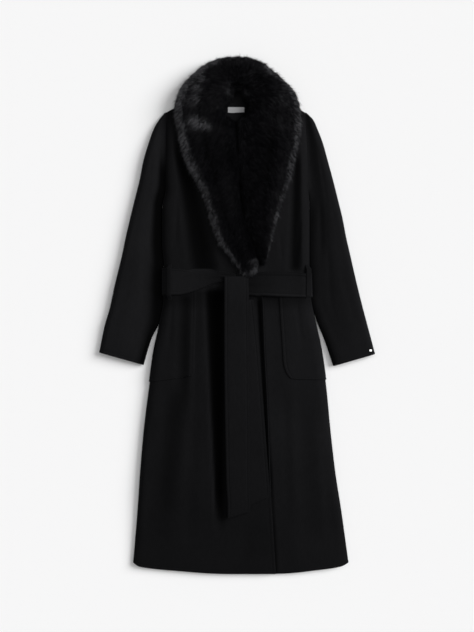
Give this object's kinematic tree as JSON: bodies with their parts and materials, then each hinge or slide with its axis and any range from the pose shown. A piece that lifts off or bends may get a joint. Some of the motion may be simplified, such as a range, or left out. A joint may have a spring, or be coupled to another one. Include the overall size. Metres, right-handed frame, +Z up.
{
  "type": "wool coat",
  "caption": "Long belted wrap coat in black wool with a fur shawl collar and patch pockets, laid flat.",
  "frame": {"origin": "middle of the coat's footprint, on the surface that it lies on", "axes": "+Z up from the surface, +Y from hem to collar, +X towards the wearer's left, which is the viewer's right"},
  "size_m": [0.707, 1.323, 0.062],
  "materials": {
    "wool": "matt felted double-faced wool with a short nap",
    "fur": "glossy dense faux fur, 25 mm pile",
    "label_cloth": "plain satin tape",
    "tag_metal": "plain satin metal"
  },
  "bodies": {
    "root": {"back": "wool", "front_right": "wool", "front_left": "wool", "sleeve_right_top": "wool", "sleeve_right_under": "wool", "sleeve_left_top": "wool", "sleeve_left_under": "wool", "pocket_right": "wool", "pocket_left": "wool", "belt_back": "wool", "belt_side_right": "wool", "belt_side_left": "wool", "belt_right": "wool", "belt_left": "wool", "belt_loop_right": "wool", "belt_loop_left": "wool", "belt_tail_front": "wool", "belt_tail_under": "wool", "collar_right": "fur", "collar_left": "fur", "neck_label": "label_cloth", "cuff_tag": "tag_metal"}
  },
  "joints": []
}
